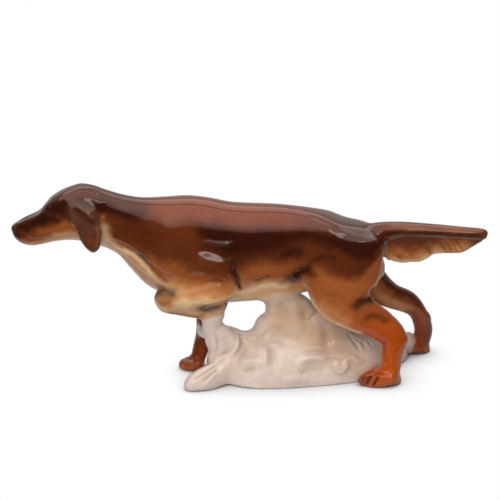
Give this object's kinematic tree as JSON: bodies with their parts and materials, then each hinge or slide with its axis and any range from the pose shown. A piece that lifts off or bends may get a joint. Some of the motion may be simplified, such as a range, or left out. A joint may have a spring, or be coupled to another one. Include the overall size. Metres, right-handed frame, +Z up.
{
  "type": "porcelain dog figurine",
  "caption": "Glazed porcelain setter on point with one forepaw raised, carried by a sculpted mound and props; an ornament that stands on a flat surface.",
  "frame": {"origin": "on the table, below the middle of the figure's bounding box", "axes": "+X from the nose to the tip of the tail, +Y towards the dog's right side, +Z up"},
  "size_m": [0.2803, 0.0744, 0.1162],
  "materials": {
    "chestnut_glaze": "gloss",
    "russet_glaze": "gloss",
    "ivory_glaze": "gloss"
  },
  "bodies": {
    "root": {"trunk": "chestnut_glaze", "head": "chestnut_glaze", "left_ear": "chestnut_glaze", "right_ear": "chestnut_glaze", "tail": "chestnut_glaze", "raised_foreleg": "russet_glaze", "standing_foreleg": "russet_glaze", "left_hind_leg": "russet_glaze", "right_hind_leg": "russet_glaze", "mound": "ivory_glaze", "belly_prop": "ivory_glaze", "paw_prop": "ivory_glaze"}
  },
  "joints": []
}
